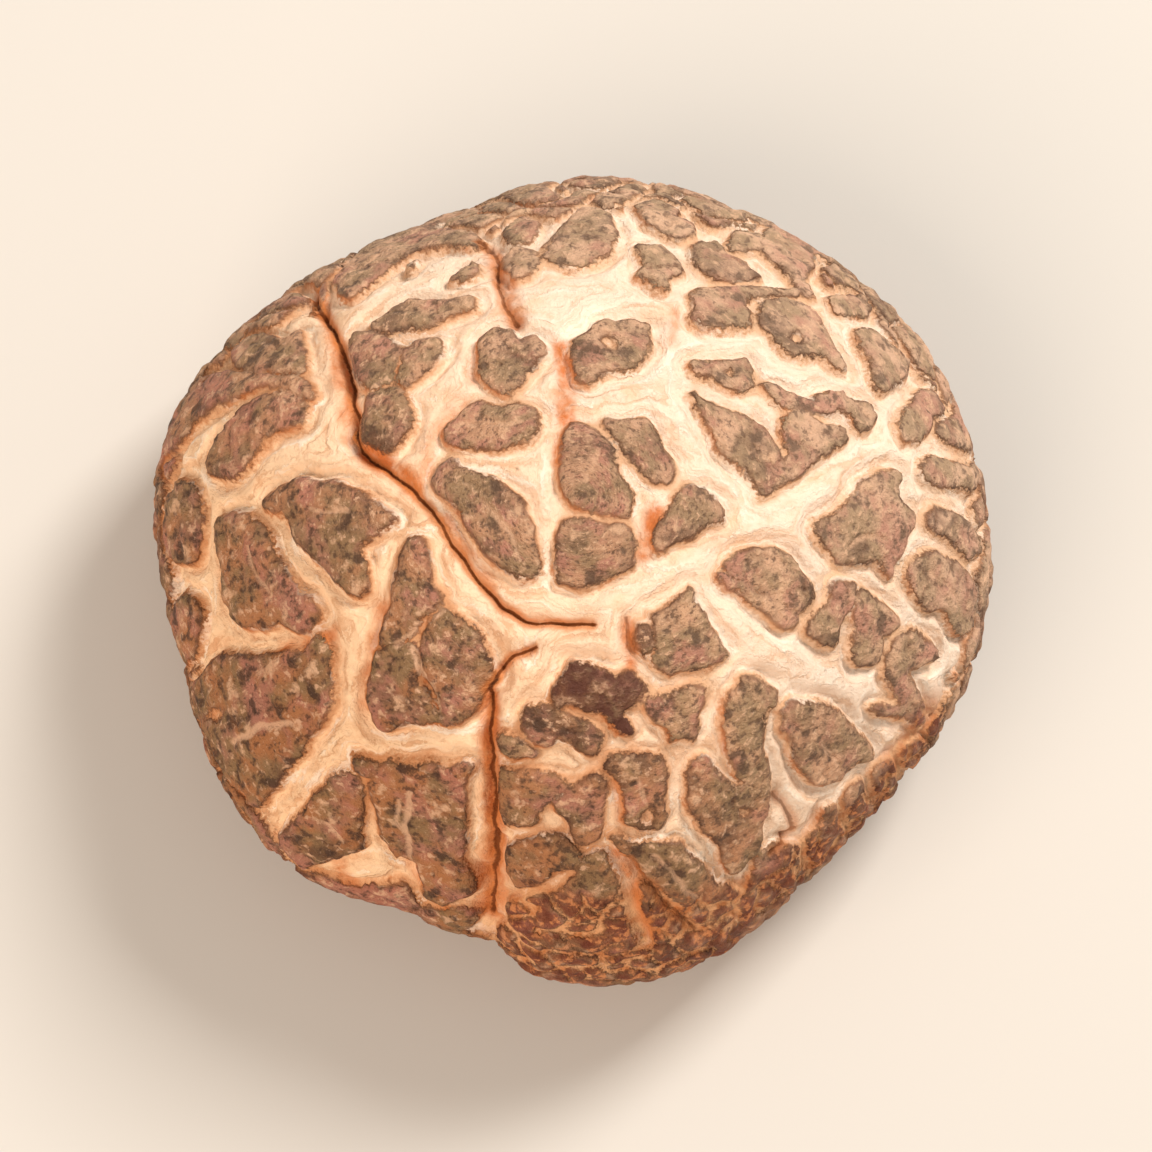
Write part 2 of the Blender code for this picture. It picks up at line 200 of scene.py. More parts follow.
    (0.1, ((-2.8, -7.8), (-2.5, -7.2), (-1.7, -7.0), (-0.7, -7.3), (0.0, -7.7), (0.8, -8.0), (1.2, -8.5),
        (1.3, -9.0), (0.8, -9.7), (0.2, -9.3), (-0.4, -8.9), (-0.9, -8.6), (-1.5, -9.0), (-2.0, -8.8),
        (-2.5, -8.3))),
    # lower right
    (-0.5, ((3.5, -2.6), (3.9, -3.0), (4.0, -3.8), (3.8, -4.2), (3.4, -3.8), (3.3, -3.2))),
    (0.5, ((6.2, -0.8), (5.7, -1.3), (4.8, -1.7), (4.1, -2.1), (4.3, -3.0), (4.4, -4.0), (4.3, -4.8),
        (5.0, -5.2), (5.7, -5.0), (6.3, -5.0), (7.2, -4.8), (8.0, -4.3), (7.8, -3.8), (7.2, -2.9),
        (6.7, -2.0), (6.3, -1.3))),
    (0.2, ((8.1, 0.4), (8.6, 1.0), (9.6, 1.3), (10.6, 1.4), (11.4, 1.0), (12.0, 0.3), (12.4, -0.3),
        (12.8, -1.0), (12.5, -1.5), (12.0, -1.9), (11.0, -1.2), (10.0, -0.6), (9.0, -0.2))),
    (0.3, ((7.8, 0.0), (8.3, -0.5), (9.0, -0.8), (9.8, -1.5), (10.5, -2.2), (11.2, -2.8), (11.7, -2.8),
        (12.0, -2.2), (11.3, -1.8), (10.5, -1.2), (9.7, -0.8), (9.0, -0.5), (8.3, -0.1))),
    (0.3, ((14.0, -0.3), (15.0, -0.5), (15.0, -1.2), (14.5, -2.0), (14.2, -2.8), (14.0, -3.8), (13.5, -3.7),
        (12.8, -3.2), (12.5, -3.0), (12.8, -2.2), (13.5, -1.8), (13.8, -1.2))),
    (0.3, ((15.3, -0.8), (16.0, -1.2), (16.8, -1.8), (17.4, -2.5), (17.0, -3.0), (16.5, -3.0), (16.5, -3.8),
        (16.2, -4.5), (15.8, -4.8), (15.2, -4.7), (15.0, -3.8), (15.2, -2.8), (15.0, -2.0))),
    (0.1, ((17.5, -3.3), (18.3, -3.0), (18.8, -3.3), (19.3, -4.0), (19.5, -4.5), (19.0, -4.7), (18.2, -4.8),
        (17.8, -4.9), (18.1, -5.7), (18.3, -6.3), (18.8, -7.0), (18.8, -7.8), (18.2, -8.0), (17.7, -7.0),
        (17.2, -6.2), (16.8, -5.3), (16.7, -4.5), (17.2, -3.8))),
    (0.1, ((11.7, -6.8), (12.8, -7.0), (13.8, -7.2), (14.5, -7.8), (15.0, -8.5), (15.8, -9.3), (16.0, -9.8),
        (15.3, -10.0), (14.7, -10.5), (14.3, -11.0), (13.5, -11.2), (12.8, -11.0), (12.3, -10.5),
        (12.0, -9.8), (11.7, -8.8), (11.2, -8.2), (11.2, -7.3))),
    (-0.3, ((16.0, -7.2), (17.7, -7.2), (17.7, -7.5), (16.5, -7.5))),
    (0.4, ((9.0, -5.5), (9.8, -5.7), (10.7, -6.3), (10.7, -6.9), (10.2, -7.3), (10.0, -8.3), (10.0, -9.5),
        (10.3, -10.5), (10.4, -11.7), (9.3, -11.2), (8.8, -10.7), (8.3, -9.7), (8.2, -8.8), (8.1, -7.7),
        (8.2, -6.7), (8.7, -6.0))),
    (-0.1, ((6.8, -9.8), (7.3, -10.5), (7.8, -11.2), (8.7, -11.5), (9.3, -11.3), (10.4, -11.5),
        (10.3, -12.8), (10.0, -13.3), (10.0, -14.2), (9.8, -14.8), (9.3, -15.1), (9.0, -15.8), (8.5, -16.0),
        (8.1, -15.5), (7.8, -14.7), (7.2, -13.8), (6.5, -13.0), (6.2, -12.3), (6.1, -11.0), (6.2, -10.2))),
    (0.1, ((2.0, -9.8), (2.8, -9.7), (3.8, -9.7), (4.7, -9.8), (4.8, -11.0), (4.6, -12.0), (4.8, -13.0),
        (4.4, -13.5), (3.6, -13.6), (3.2, -13.4), (2.8, -13.3), (2.7, -12.3), (2.5, -11.3), (2.2, -10.7),
        (1.7, -10.2))),
    (0.5, ((3.8, -6.8), (4.5, -6.7), (5.0, -6.5), (5.7, -6.3), (6.3, -6.0), (7.0, -6.0), (6.8, -6.8),
        (6.5, -7.3), (6.5, -8.2), (6.3, -8.8), (5.7, -8.8), (5.3, -8.8), (5.0, -8.3), (4.7, -8.0),
        (4.2, -7.7))),
    (-0.1, ((2.0, -14.0), (2.8, -14.5), (4.0, -14.5), (5.0, -14.5), (5.7, -14.5), (6.2, -15.3),
        (7.0, -16.0), (7.5, -16.7), (8.2, -16.7), (8.8, -17.3), (8.5, -18.0), (7.7, -18.2), (7.2, -18.8),
        (6.7, -18.7), (6.2, -18.5), (5.5, -17.8), (4.8, -17.0), (4.2, -16.5), (3.7, -15.8), (3.0, -15.2),
        (2.3, -14.5))),
    (-0.3, ((3.6, -16.8), (4.2, -17.2), (5.0, -18.0), (6.0, -19.0), (6.6, -19.4), (5.6, -19.9),
        (4.6, -20.0), (4.2, -19.0), (3.8, -18.0))),
    (-0.2, ((0.3, -15.3), (1.3, -15.0), (1.8, -15.8), (2.2, -17.2), (2.7, -18.8), (3.0, -20.1),
        (1.5, -20.4), (-0.5, -20.2), (-2.2, -19.7), (-3.6, -18.8), (-3.8, -17.9), (-2.5, -17.5),
        (-0.8, -17.0), (0.0, -16.3))),
    (-0.2, ((9.8, -15.0), (10.5, -14.7), (11.3, -14.7), (12.0, -14.7), (12.0, -15.7), (12.3, -16.5),
        (10.4, -18.1), (9.2, -19.0), (9.0, -17.6), (9.6, -16.4), (10.0, -15.8))),
    (-0.5, ((12.7, -14.1), (13.3, -13.4), (13.5, -12.6), (14.0, -12.5), (14.1, -13.5), (14.8, -14.4),
        (14.0, -15.2), (13.2, -16.0), (12.7, -15.2))),
    (0.0, ((14.5, -11.7), (15.3, -11.1), (15.5, -11.9), (16.2, -12.9), (15.4, -13.9), (14.8, -13.0))),
    (-0.4, ((16.1, -10.5), (16.6, -10.1), (17.0, -10.0), (17.2, -10.8), (17.7, -11.4), (16.9, -12.5),
        (16.3, -11.6))),
    (0.0, ((17.7, -9.3), (18.2, -9.0), (18.9, -9.3), (18.7, -10.5), (18.3, -11.0), (17.8, -10.2))),
    (-0.5, ((-4.1, -18.9), (-2.5, -19.9), (-0.5, -20.5), (1.5, -20.7), (3.5, -20.3), (6.0, -19.6),
        (8.3, -18.5), (9.8, -19.4), (8.0, -20.9), (5.0, -21.9), (1.0, -22.6), (-2.0, -22.1),
        (-4.3, -20.5))),
    (-0.1, ((-16.2, -15.0), (-15.2, -16.0), (-14.0, -16.1), (-12.6, -16.7), (-11.5, -17.0), (-10.4, -16.9),
        (-9.2, -16.6), (-8.6, -17.8), (-7.4, -18.2), (-6.0, -17.9), (-5.3, -18.4), (-6.5, -19.5),
        (-8.5, -19.8), (-11.0, -19.1), (-13.5, -17.8), (-15.8, -16.2))),
    (0.0, ((-19.6, -10.6), (-19.0, -11.4), (-18.2, -12.4), (-17.6, -13.4), (-17.2, -14.4), (-16.6, -14.2),
        (-17.6, -16.0), (-19.6, -13.0), (-20.6, -10.6), (-20.4, -9.2))),
)

# Holes torn in plates: (across, up, radius)
HOLES = ((11.9, 12.9, 0.35), (1.9, 12.6, 0.4), (8.2, 11.1, 0.2), (9.0, -12.7, 0.28), (3.9, -13.0, 0.4),
         (-19.5, -7.5, 0.4))

# Narrow cracks that only part the skin: (width, points)
SLITS = (
    (0.24, ((-12.5, 16.0), (-11.5, 16.6), (-10.5, 17.2))),
    (0.32, ((-18.5, -9.0), (-17.3, -8.3), (-16.0, -8.0), (-15.2, -7.8))),
    (0.42, ((-9.7, -3.7), (-8.5, -2.8), (-7.1, -1.6))),
    (0.46, ((-8.8, -3.9), (-8.3, -5.3), (-7.4, -7.2))),
    (0.34, ((-8.9, -11.6), (-9.2, -13.4), (-8.9, -15.4))),
    (0.2, ((-2.9, 0.8), (-3.6, 2.2), (-4.6, 3.6), (-6.0, 4.8))),
    (0.2, ((0.4, 5.0), (1.0, 5.8), (1.3, 6.8))),
    (0.2, ((-6.2, 8.2), (-4.6, 8.0), (-3.0, 8.4))),
    (0.2, ((14.6, 1.6), (15.6, 2.2), (16.6, 2.0))),
    (0.24, ((12.8, -8.2), (13.5, -9.2), (14.0, -10.2))),
    (0.2, ((3.2, -10.6), (3.5, -11.4), (3.9, -12.2))),
    (0.24, ((4.2, -15.0), (5.2, -15.8), (5.9, -16.9), (6.9, -17.7))),
    (0.2, ((-17.6, 1.6), (-17.4, 0.4), (-16.6, -0.8))),
    (0.2, ((-14.4, 3.6), (-13.2, 3.4), (-12.2, 3.5))),
    (0.24, ((-14.2, -12.9), (-13.2, -13.3), (-12.6, -14.2))),
    (0.24, ((-9.6, -12.0), (-9.7, -13.2), (-9.0, -14.2))),
    (0.2, ((19.0, 0.2), (19.9, -0.4), (20.6, -1.4))),
)

# Deep fissures in the flesh: (depth, points)
FISSURES = (
    (1.0, ((-14.5, 16.0), (-14.1, 15.0), (-13.6, 14.0), (-12.9, 13.0), (-12.8, 12.0), (-12.5, 10.8),
        (-12.2, 9.6), (-12.0, 8.2), (-12.0, 7.0), (-11.0, 6.2), (-10.0, 5.5), (-9.0, 4.9), (-8.3, 4.0),
        (-7.3, 2.8), (-6.4, 1.2), (-5.6, 0.2), (-4.9, -0.7), (-4.0, -1.7), (-2.7, -2.4), (-0.9, -2.6),
        (0.8, -2.6))),
    (0.7, ((-5.2, 18.3), (-4.6, 18.0), (-4.3, 17.0), (-4.3, 16.0), (-4.0, 15.0), (-3.3, 13.9))),
    (1.0, ((-2.4, -3.9), (-3.4, -4.3), (-4.2, -5.2), (-4.8, -6.2), (-4.6, -7.4), (-4.8, -9.0),
        (-4.75, -10.5), (-4.7, -12.2), (-4.6, -14.0), (-4.7, -15.7), (-4.8, -17.2), (-4.8, -18.6))),
    (0.5, ((2.8, -2.4), (2.9, -3.2), (3.1, -4.0))),
    (0.5, ((11.0, -12.0), (11.8, -13.2), (11.9, -13.8), (11.3, -14.5), (10.7, -14.8))),
    (0.5, ((2.9, -15.4), (3.6, -16.4), (4.4, -17.3), (5.4, -18.3), (6.4, -19.1))),
)

# Painted shade: orange-brown strips along torn walls and fissure sides that turn away from the light: (width,
# strength, points)
SHADE_STRIPS = (
    (0.9, 1.0, ((-0.8, 12.6), (-0.6, 11.5), (-0.45, 10.3), (-0.6, 9.2), (-0.5, 8.2), (-0.9, 6.5))),
    (0.5, 0.6, ((-5.3, 13.2), (-5.5, 11.8), (-5.7, 10.6))),
    (0.6, 0.5, ((-6.3, 9.6), (-7.4, 8.3), (-8.0, 7.0), (-8.1, 5.6))),
    (0.8, 1.0, ((4.3, 3.6), (4.0, 2.5), (3.7, 1.3))),
    (1.1, 1.0, ((-11.6, 6.9), (-10.6, 6.2), (-9.6, 5.6), (-8.9, 5.0))),
    (0.9, 0.7, ((-4.6, 17.8), (-4.0, 16.2), (-3.6, 15.0), (-3.2, 14.0))),
    (0.6, 0.8, ((-16.0, -3.9), (-14.9, -3.7), (-13.9, -3.8), (-13.2, -2.9))),
    (0.5, 0.7, ((2.0, -10.2), (2.3, -11.6), (2.5, -13.2))),
    (0.6, 0.9, ((2.2, -15.0), (3.0, -16.6), (3.7, -18.2), (4.2, -19.4))),
    (0.7, 0.7, ((-10.6, -1.5), (-10.9, -3.0), (-11.2, -5.0), (-11.6, -7.0))),
    (0.5, 0.9, ((2.8, -2.8), (3.0, -4.8))),
    (1.0, 0.9, ((-4.7, -7.0), (-4.8, -9.0), (-4.75, -10.5), (-4.7, -12.2), (-4.6, -14.0), (-4.7, -15.7),
        (-4.7, -18.2))),
    (1.4, 0.8, ((-4.5, -15.6), (-4.7, -16.9), (-4.8, -18.4))),
    (0.7, 0.6, ((-9.4, -14.3), (-8.6, -16.4), (-7.2, -17.8))),
    (0.9, 0.6, ((-12.9, -15.8), (-12.2, -16.8))),
    (0.7, 0.8, ((-14.2, 15.6), (-13.6, 14.2), (-13.2, 12.6), (-12.9, 10.8), (-12.6, 9.0), (-12.5, 7.6))),
    (0.5, 0.8, ((-7.2, 3.3), (-6.1, 1.6), (-5.2, 0.4), (-4.5, -0.5))),
    (0.5, 0.6, ((15.0, 8.4), (15.8, 8.3))),
    (0.6, 0.6, ((5.4, 14.2), (5.2, 12.5))),
)

# Where the skin near the rim has crazed finely: lines along the middle of that strip
CRAZED = (
    ((18.8, -8.4), (18.0, -9.8), (16.3, -12.2), (14.0, -14.2), (11.5, -16.2), (9.0, -18.0), (5.0, -18.9),
        (1.0, -18.9), (-2.5, -18.3)),
    ((19.6, -9.4), (17.6, -12.8), (14.6, -16.2), (11.5, -18.6), (8.0, -20.3), (4.0, -21.2), (0.0, -21.2),
        (-3.0, -20.4)),
)


def linear(hex_colour):
    """Linear RGBA of an sRGB hex colour."""
    parts = [int(hex_colour[i:i + 2], 16) / 255 for i in (1, 3, 5)]
    return (*(c / 12.92 if c <= 0.04045 else ((c + 0.055) / 1.055) ** 2.4 for c in parts), 1.0)


# ---------------------------------------------------------------- mesh helpers

def deselect():
    bpy.ops.object.select_all(action="DESELECT")


def make_active(piece):
    deselect()
    piece.select_set(True)
    bpy.context.view_layer.objects.active = piece


def copy_of_node(node, name):
    """A piece with its own copy of a CAD node's mesh, merged and in quads."""
    piece = bpy.data.objects.new(name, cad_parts[node].data.copy())
    piece.data.materials.clear()
    bpy.context.scene.collection.objects.link(piece)
    make_active(piece)
    bpy.ops.object.mode_set(mode="EDIT")
    bpy.ops.mesh.select_all(action="SELECT")
    bpy.ops.mesh.remove_doubles(threshold=0.00002)
    bpy.ops.mesh.tris_convert_to_quads()
    bpy.ops.mesh.normals_make_consistent(inside=False)
    bpy.ops.object.mode_set(mode="OBJECT")
    return piece


def apply_modifier(piece, kind, **settings):
    make_active(piece)
    modifier = piece.modifiers.new(kind.lower(), kind)
    for key, value in settings.items():
        setattr(modifier, key, value)
    bpy.ops.object.modifier_apply(modifier=modifier.name)


def points_of(mesh):
    co = np.empty(len(mesh.vertices) * 3, np.float32)
    mesh.vertices.foreach_get("co", co)
    return co.reshape(-1, 3).astype(float) / MM


def normals_of(mesh):
    out = np.empty(len(mesh.vertices) * 3, np.float32)
    mesh.vertex_normals.foreach_get("vector", out)
    return out.reshape(-1, 3).astype(float)


def set_points(mesh, co):
    mesh.vertices.foreach_set("co", (co * MM).astype(np.float32).ravel())
    mesh.update()


def set_attribute(mesh, name, values):
    layer = mesh.attributes.get(name) or mesh.attributes.new(name, "FLOAT", "POINT")
    layer.data.foreach_set("value", np.asarray(values, np.float32))


def bumps(co, size, seed=0):
    """Smooth noise, about -1 to 1, with features of that size in mm, at each point."""
    shift = Vector((seed * 17.3, seed * 7.7, seed * 3.1))
    return np.array([noise.noise(Vector(p) / size + shift) for p in co.tolist()])


def drift(co, size, reach, seed=0):
    """The points, each pushed up to about reach mm by noise of that size: straight lines then wander."""
    shift = Vector((seed * 11.9, seed * 5.3, seed * 2.7))
    push = [noise.noise_vector(Vector(p) / size + shift) for p in co.tolist()]
    return co + reach * np.array([tuple(v) for v in push])


def ramp(x, low, high):
    t = np.clip((x - low) / (high - low), 0, 1)
    return t * t * (3 - 2 * t)


# ---------------------------------------------------------------- plates and cracks in the skin

def to_sight(co):
    """(across, up) on the sight plane where the eye sees each point."""
    place = co - SIGHT_MIDDLE
    nearer = SIGHT_DISTANCE / (SIGHT_DISTANCE - place @ TO_EYE)
    return np.stack([place[:, 0] * nearer, (place @ SIGHT_UP) * nearer], axis=1)


def dropped(line, tree):
    """(start, end) of each stretch of a line of sight-plane points, dropped onto the cap."""
    places = []
    for across, up in line:
        start = SIGHT_MIDDLE + (across, 0, 0) + up * SIGHT_UP
        way = Vector(start - EYE).normalized()
        places.append(tree.ray_cast(Vector(EYE), way)[0])
    pairs = [(tuple(a), tuple(b)) for a, b in zip(places, places[1:]) if a is not None and b is not None]
    return np.array(pairs).reshape(-1, 2, 3)


def divided(line, longest=0.8):
    """The line with points added so that no stretch is longer than that, mm."""
    out = [line[0]]
    for a, b in zip(line, line[1:]):
        count = max(1, math.ceil(math.dist(a, b) / longest))
        out += [(a[0] + (b[0] - a[0]) * k / count, a[1] + (b[1] - a[1]) * k / count)
                for k in range(1, count + 1)]
    return out


def rounded(corners):
    """A closed outline with each corner cut once, its first point repeated at the end."""
    cut = 0.14  # share of each side that its two corners take
    out = []
    for a, b in zip(corners, corners[1:] + corners[:1]):
        out += [(a[0] * (1 - cut) + b[0] * cut, a[1] * (1 - cut) + b[1] * cut),
                (a[0] * cut + b[0] * (1 - cut), a[1] * cut + b[1] * (1 - cut))]
    return out + out[:1]


def near_line(co, pairs, reach):
    """Yields (rows, mm to the line, arrow from each point to its nearest place) for the points in reach."""
    if not len(pairs):
        return
    low, high = pairs.reshape(-1, 3).min(0) - reach, pairs.reshape(-1, 3).max(0) + reach
    near = np.flatnonzero(((co > low) & (co < high)).all(1))
    start, run = pairs[None, :, 0], (pairs[:, 1] - pairs[:, 0])[None]
    for rows in np.array_split(near, max(1, len(near) // 4000)):
        offset = co[rows, None] - start
        t = np.clip((offset * run).sum(2) / np.maximum((run * run).sum(2), 1e-9), 0, 1)
        arrow = t[..., None] * run - offset
        gap = np.linalg.norm(arrow, axis=2)
        which = gap.argmin(1)
        every = np.arange(len(rows))
        yield rows, gap[every, which], arrow[every, which]


def near_drawn(co, line, tree, reach):
    return near_line(co, dropped(divided(line), tree), reach)


def inside(spot, outline):
    """Whether each (across, up) spot is inside the closed outline."""
    a, b = np.array(outline[:-1]), np.array(outline[1:])
    crosses = (a[:, 1] > spot[:, 1:]) != (b[:, 1] > spot[:, 1:])
    rise = np.where(a[:, 1] == b[:, 1], 1e-9, b[:, 1] - a[:, 1])
    where = a[:, 0] + (spot[:, 1:] - a[:, 1]) * (b[:, 0] - a[:, 0]) / rise
    return (crosses & (spot[:, :1] < where)).sum(1) % 2 == 1


def plate_field(co, facing, tree):
    """For each point: mm inside its plate's edge (minus on bare flesh), half the width of the crack there,
    the plate's tone, and how far the torn wall there turns from the upper right, -1 to 1."""
    wander = drift(drift(co, 1.3, 0.22, 1), 0.45, 0.11, 2)
    spot = to_sight(wander)
    upper_right = (np.array((1.0, 0.0, 0.0)) + SIGHT_UP) / math.sqrt(2)
    best, second = np.full(len(co), -FAR), np.full(len(co), -FAR)
    tone, lee = np.zeros(len(co)), np.zeros(len(co))
    for plate_tone, corners in PLATES:
        outline = rounded(corners)
        for rows, gap, arrow in near_drawn(wander, outline, tree, reach=3.5):
            within = inside(spot[rows], outline) & (facing[rows] > 0)
            signed = np.where(within, gap, -gap)
            turned = arrow @ upper_right / np.maximum(gap, 0.01)
            first = signed > best[rows]
            second[rows] = np.maximum(second[rows], np.where(first, best[rows], signed))
            best[rows] = np.where(first, signed, best[rows])
            tone[rows] = np.where(first, plate_tone, tone[rows])
            lee[rows] = np.where(first, np.where(within, -turned, turned), lee[rows])
    best, second = best + PLATE_GROWTH, second + PLATE_GROWTH
    span = np.clip(-(np.minimum(best, 0) + second) / 2, 0.1, 1.5)
    for across, up, radius in HOLES:
        hole = np.hypot(spot[:, 0] - across, spot[:, 1] - up) - radius
        torn = (hole < best) & (facing > 0)
        best, span = np.where(torn, hole, best), np.where(torn & (hole < 0), radius, span)
    return best, span, tone, lee


def fissure_field(co, tree):
    """For each point: mm to the nearest fissure's line, mm across it, signed by side, and its depth."""
    wander = drift(drift(co, 1.5, 0.18, 4), 0.5, 0.06, 5)
    gap_to, across, depth = np.full(len(co), FAR), np.full(len(co), FAR), np.zeros(len(co))
    for how_deep, line in FISSURES:
        pairs = dropped(divided(line), tree)
        for rows, gap, arrow in near_line(wander, pairs, reach=2.0):
            middle = (pairs[:, 0] + pairs[:, 1]) / 2
            nearest = np.linalg.norm(wander[rows, None] - middle[None], axis=2).argmin(1)
            run = pairs[nearest, 1] - pairs[nearest, 0]
            side = np.cross(run, TO_EYE)
            offset = (arrow * side).sum(1) / np.maximum(np.linalg.norm(side, axis=1), 1e-9)
            closer = gap < gap_to[rows]
            gap_to[rows] = np.where(closer, gap, gap_to[rows])
            across[rows] = np.where(closer, offset, across[rows])
            depth[rows] = np.where(closer, how_deep, depth[rows])
    return gap_to, across, depth


def scattered(co, spacing, chooser):
    """Some of the points, no two nearer than the spacing in mm given for each."""
    order = list(range(len(co)))
    chooser.shuffle(order)
    kept = np.empty((0, 3))
    for i in order[:MOST_TRIED]:
        if not len(kept) or ((kept - co[i]) ** 2).sum(1).min() > spacing[i] ** 2:
            kept = np.vstack([kept, co[i]])
    return kept


def network_field(co, spacing, width, joined, seed):
    """Mm from each point to the edge of the nearest crack of a random network with cells of that spacing, and
    half that crack's width. width mm at each point is scaled by a random share for each pair of cells, and
    the share joined of the cells is joined to a neighbour."""
    chooser = random.Random(seed)
    seeds = scattered(co, spacing, chooser)
    tree = kdtree.KDTree(len(seeds))
    for i, point in enumerate(seeds):
        tree.insert(point, i)
    tree.balance()
    group = list(range(len(seeds)))
    for i, point in enumerate(seeds):
        if chooser.random() < joined:
            group[i] = group[tree.find_n(point, 2)[1][1]]
    share = {}
    wander = drift(drift(co, 2.6, 0.9, seed), 0.5, 0.12, seed + 1)
    out, span = np.full(len(co), 8.0), np.full(len(co), 0.2)
    for k, point in enumerate(wander.tolist()):
        cells = tree.find_n(point, 7)
        place, first, reach = cells[0]
        best = 8.0
        for there, i, distance in cells[1:]:
            if group[i] == group[first]:
                continue
            pair = (min(group[i], group[first]), max(group[i], group[first]))
            if pair not in share:
                share[pair] = chooser.random()
            half = width[k] * (0.15 + share[pair]) / 2 - (0.5 if share[pair] < 0.15 else 0)
            gap = (distance**2 - reach**2) / (2 * (there - place).length) - half
            if gap < best:
                best, span[k] = gap, half
        out[k] = best
    return out, span


# ---------------------------------------------------------------- cap

def make_cap():
    piece = copy_of_node("cap", "cap_skin")
    apply_modifier(piece, "SUBSURF", levels=2, render_levels=2)
    apply_modifier(piece, "REMESH", mode="VOXEL", voxel_size=VOXEL * MM, use_smooth_shade=True)
    apply_modifier(piece, "SMOOTH", factor=0.5, iterations=6)
    thin_underside(piece)
    mesh = piece.data
    co, out = points_of(mesh), normals_of(mesh)
    faces = [tuple(f.vertices) for f in mesh.polygons]
    tree = BVHTree.FromPolygons([tuple(p) for p in co.tolist()], faces)
    reach = np.hypot(co[:, 0], co[:, 1])
    outward = (out[:, :2] * co[:, :2]).sum(1) / np.maximum(reach, 0.1)
    inner = (outward < 0) & (co[:, 2] > 2.2) & (co[:, 2] < 16.3) & (reach < 17.2)
    hollow = inner | ((out[:, 2] < -0.3) & (co[:, 2] > 8))
    skin = np.flatnonzero(~hollow)
    outside = co[skin]
    facing = out[skin] @ TO_EYE
    hidden = 1 - ramp(facing, 0.05, 0.25)
    rim = 1 - ramp(outside[:, 2], 3.5, 9.0)
    edge, span, tone, lee = plate_field(outside, facing, tree)
    fissure, across, depth = fissure_field(outside, tree)
    torn, torn_span = network_field(
        outside, spacing=3.4 - 1.6 * rim, width=1.5 - 0.9 * rim, joined=0.15, seed=11)
    edge, span = edge + (torn - edge) * hidden, span + (torn_span - span) * hidden
    small, _ = network_field(
        outside, spacing=2.2 - 0.6 * rim, width=0.7 - 0.3 * rim, joined=0.2, seed=37)
    filler = np.minimum(small, -edge - 0.55) - 3 * ramp(facing, 0.35, 0.6)
    edge = np.maximum(edge, filler)
    lee, tone = lee * (1 - hidden), tone * (1 - hidden)
    crazed = np.zeros(len(outside))
    for line in CRAZED:
        for rows, gap, _ in near_drawn(outside, line, tree, reach=4.0):
            ragged = 3.3 - gap + 0.6 * bumps(outside[rows], 1.5, 12)
            crazed[rows] = np.maximum(crazed[rows], ramp(ragged, 0, 2.2))
    slit = np.full(len(outside), 2.0)
    wander = drift(drift(outside, 1.5, 0.25, 7), 0.5, 0.1, 8)
    for width, line in SLITS:
        for rows, gap, _ in near_drawn(wander, line, tree, reach=1.5):
            slit[rows] = np.minimum(slit[rows], gap - width / 2)
    # Painted shade strips along torn walls and fissure sides turned from the light
    shade_strip = np.zeros(len(outside))
    for width, strength, line in SHADE_STRIPS:
        for rows, gap, _ in near_drawn(outside, line, tree, reach=1.5):
            shade_strip[rows] = np.maximum(shade_strip[rows], strength * ramp(width / 2 + 0.35 - gap, 0, 0.6))
    crazed = np.maximum(crazed, 0.6 * rim * hidden)
    fine, fine_span = network_field(
        outside, spacing=1.7 - 0.7 * crazed, width=0.22 + 0.22 * crazed, joined=0.3, seed=23)
    fine += 0.2 * (1 - crazed)
    closer = fine < edge
    edge, span = np.where(closer, fine, edge), np.where(closer & (fine < 0), fine_span, span)
    moved = co.copy()
    depressed = 0.16 * ramp(0.15 - slit, 0, 0.25)
    moved[skin] += out[skin] * (relief(outside, edge, span, fissure, depth, crazed) - depressed)[:, None]
    set_points(mesh, moved)
    for name, values, elsewhere in (
        ("plate_edge", edge, 2.0), ("crack_span", span, 0.2), ("plate_tone", tone, 0.0), ("lee", lee, 0.0),
        ("fissure", fissure, FAR), ("fissure_across", across, FAR), ("fissure_depth", depth, 0.0),
        ("shade_strip", shade_strip, 0.0), ("slit", slit, 2.0), ("crazed", crazed, 0.0),
        ("rim", np.maximum(rim, crazed), 0.0),
    ):
        whole = np.full(len(co), elsewhere)
        whole[skin] = values
        set_attribute(mesh, name, whole)
    set_attribute(mesh, "hollow", hollow)
    mesh.calc_loop_triangles()
    apply_modifier(piece, "DECIMATE", ratio=MOST_TRIANGLES / len(mesh.loop_triangles))
    piece.data.shade_smooth()
    return piece


def relief(co, edge, span, fissure, depth, crazed):
    """Mm that the surface stands out: plates a little domed, a crease at each torn edge, flesh swelling up
    between two plates, fissures cut in, and both skin and flesh wrinkled, most of all where it has crazed."""
    on, off = np.maximum(edge, 0), np.maximum(-edge, 0)
    plate = 0.16 * (1 - np.exp(-on / 0.7)) - 0.10 * np.exp(-on / 0.12)
    wall = (0.14 + 0.42 * np.clip(span, 0, 1.0)) * ramp(off, 0, 0.36)
    swell = (0.50 + 0.15 * bumps(co, 3.0, 14)) * ramp(off, 0.2, 1.15)
    cleft = depth * (0.34 * ramp(0.3 - fissure, 0, 0.3) + 0.42 * ramp(1.1 - fissure, 0, 1.1))
    rough = 0.07 * bumps(co, 0.5, 8) + 0.12 * bumps(co, 1.0, 5)
    rough = rough + 0.12 * crazed * bumps(co, 0.7, 15)
    soft = 0.03 * bumps(co, 0.7, 9) + 0.09 * bumps(co, 2.0, 6)
    return plate - wall + swell - cleft + np.where(edge > 0, rough, soft)


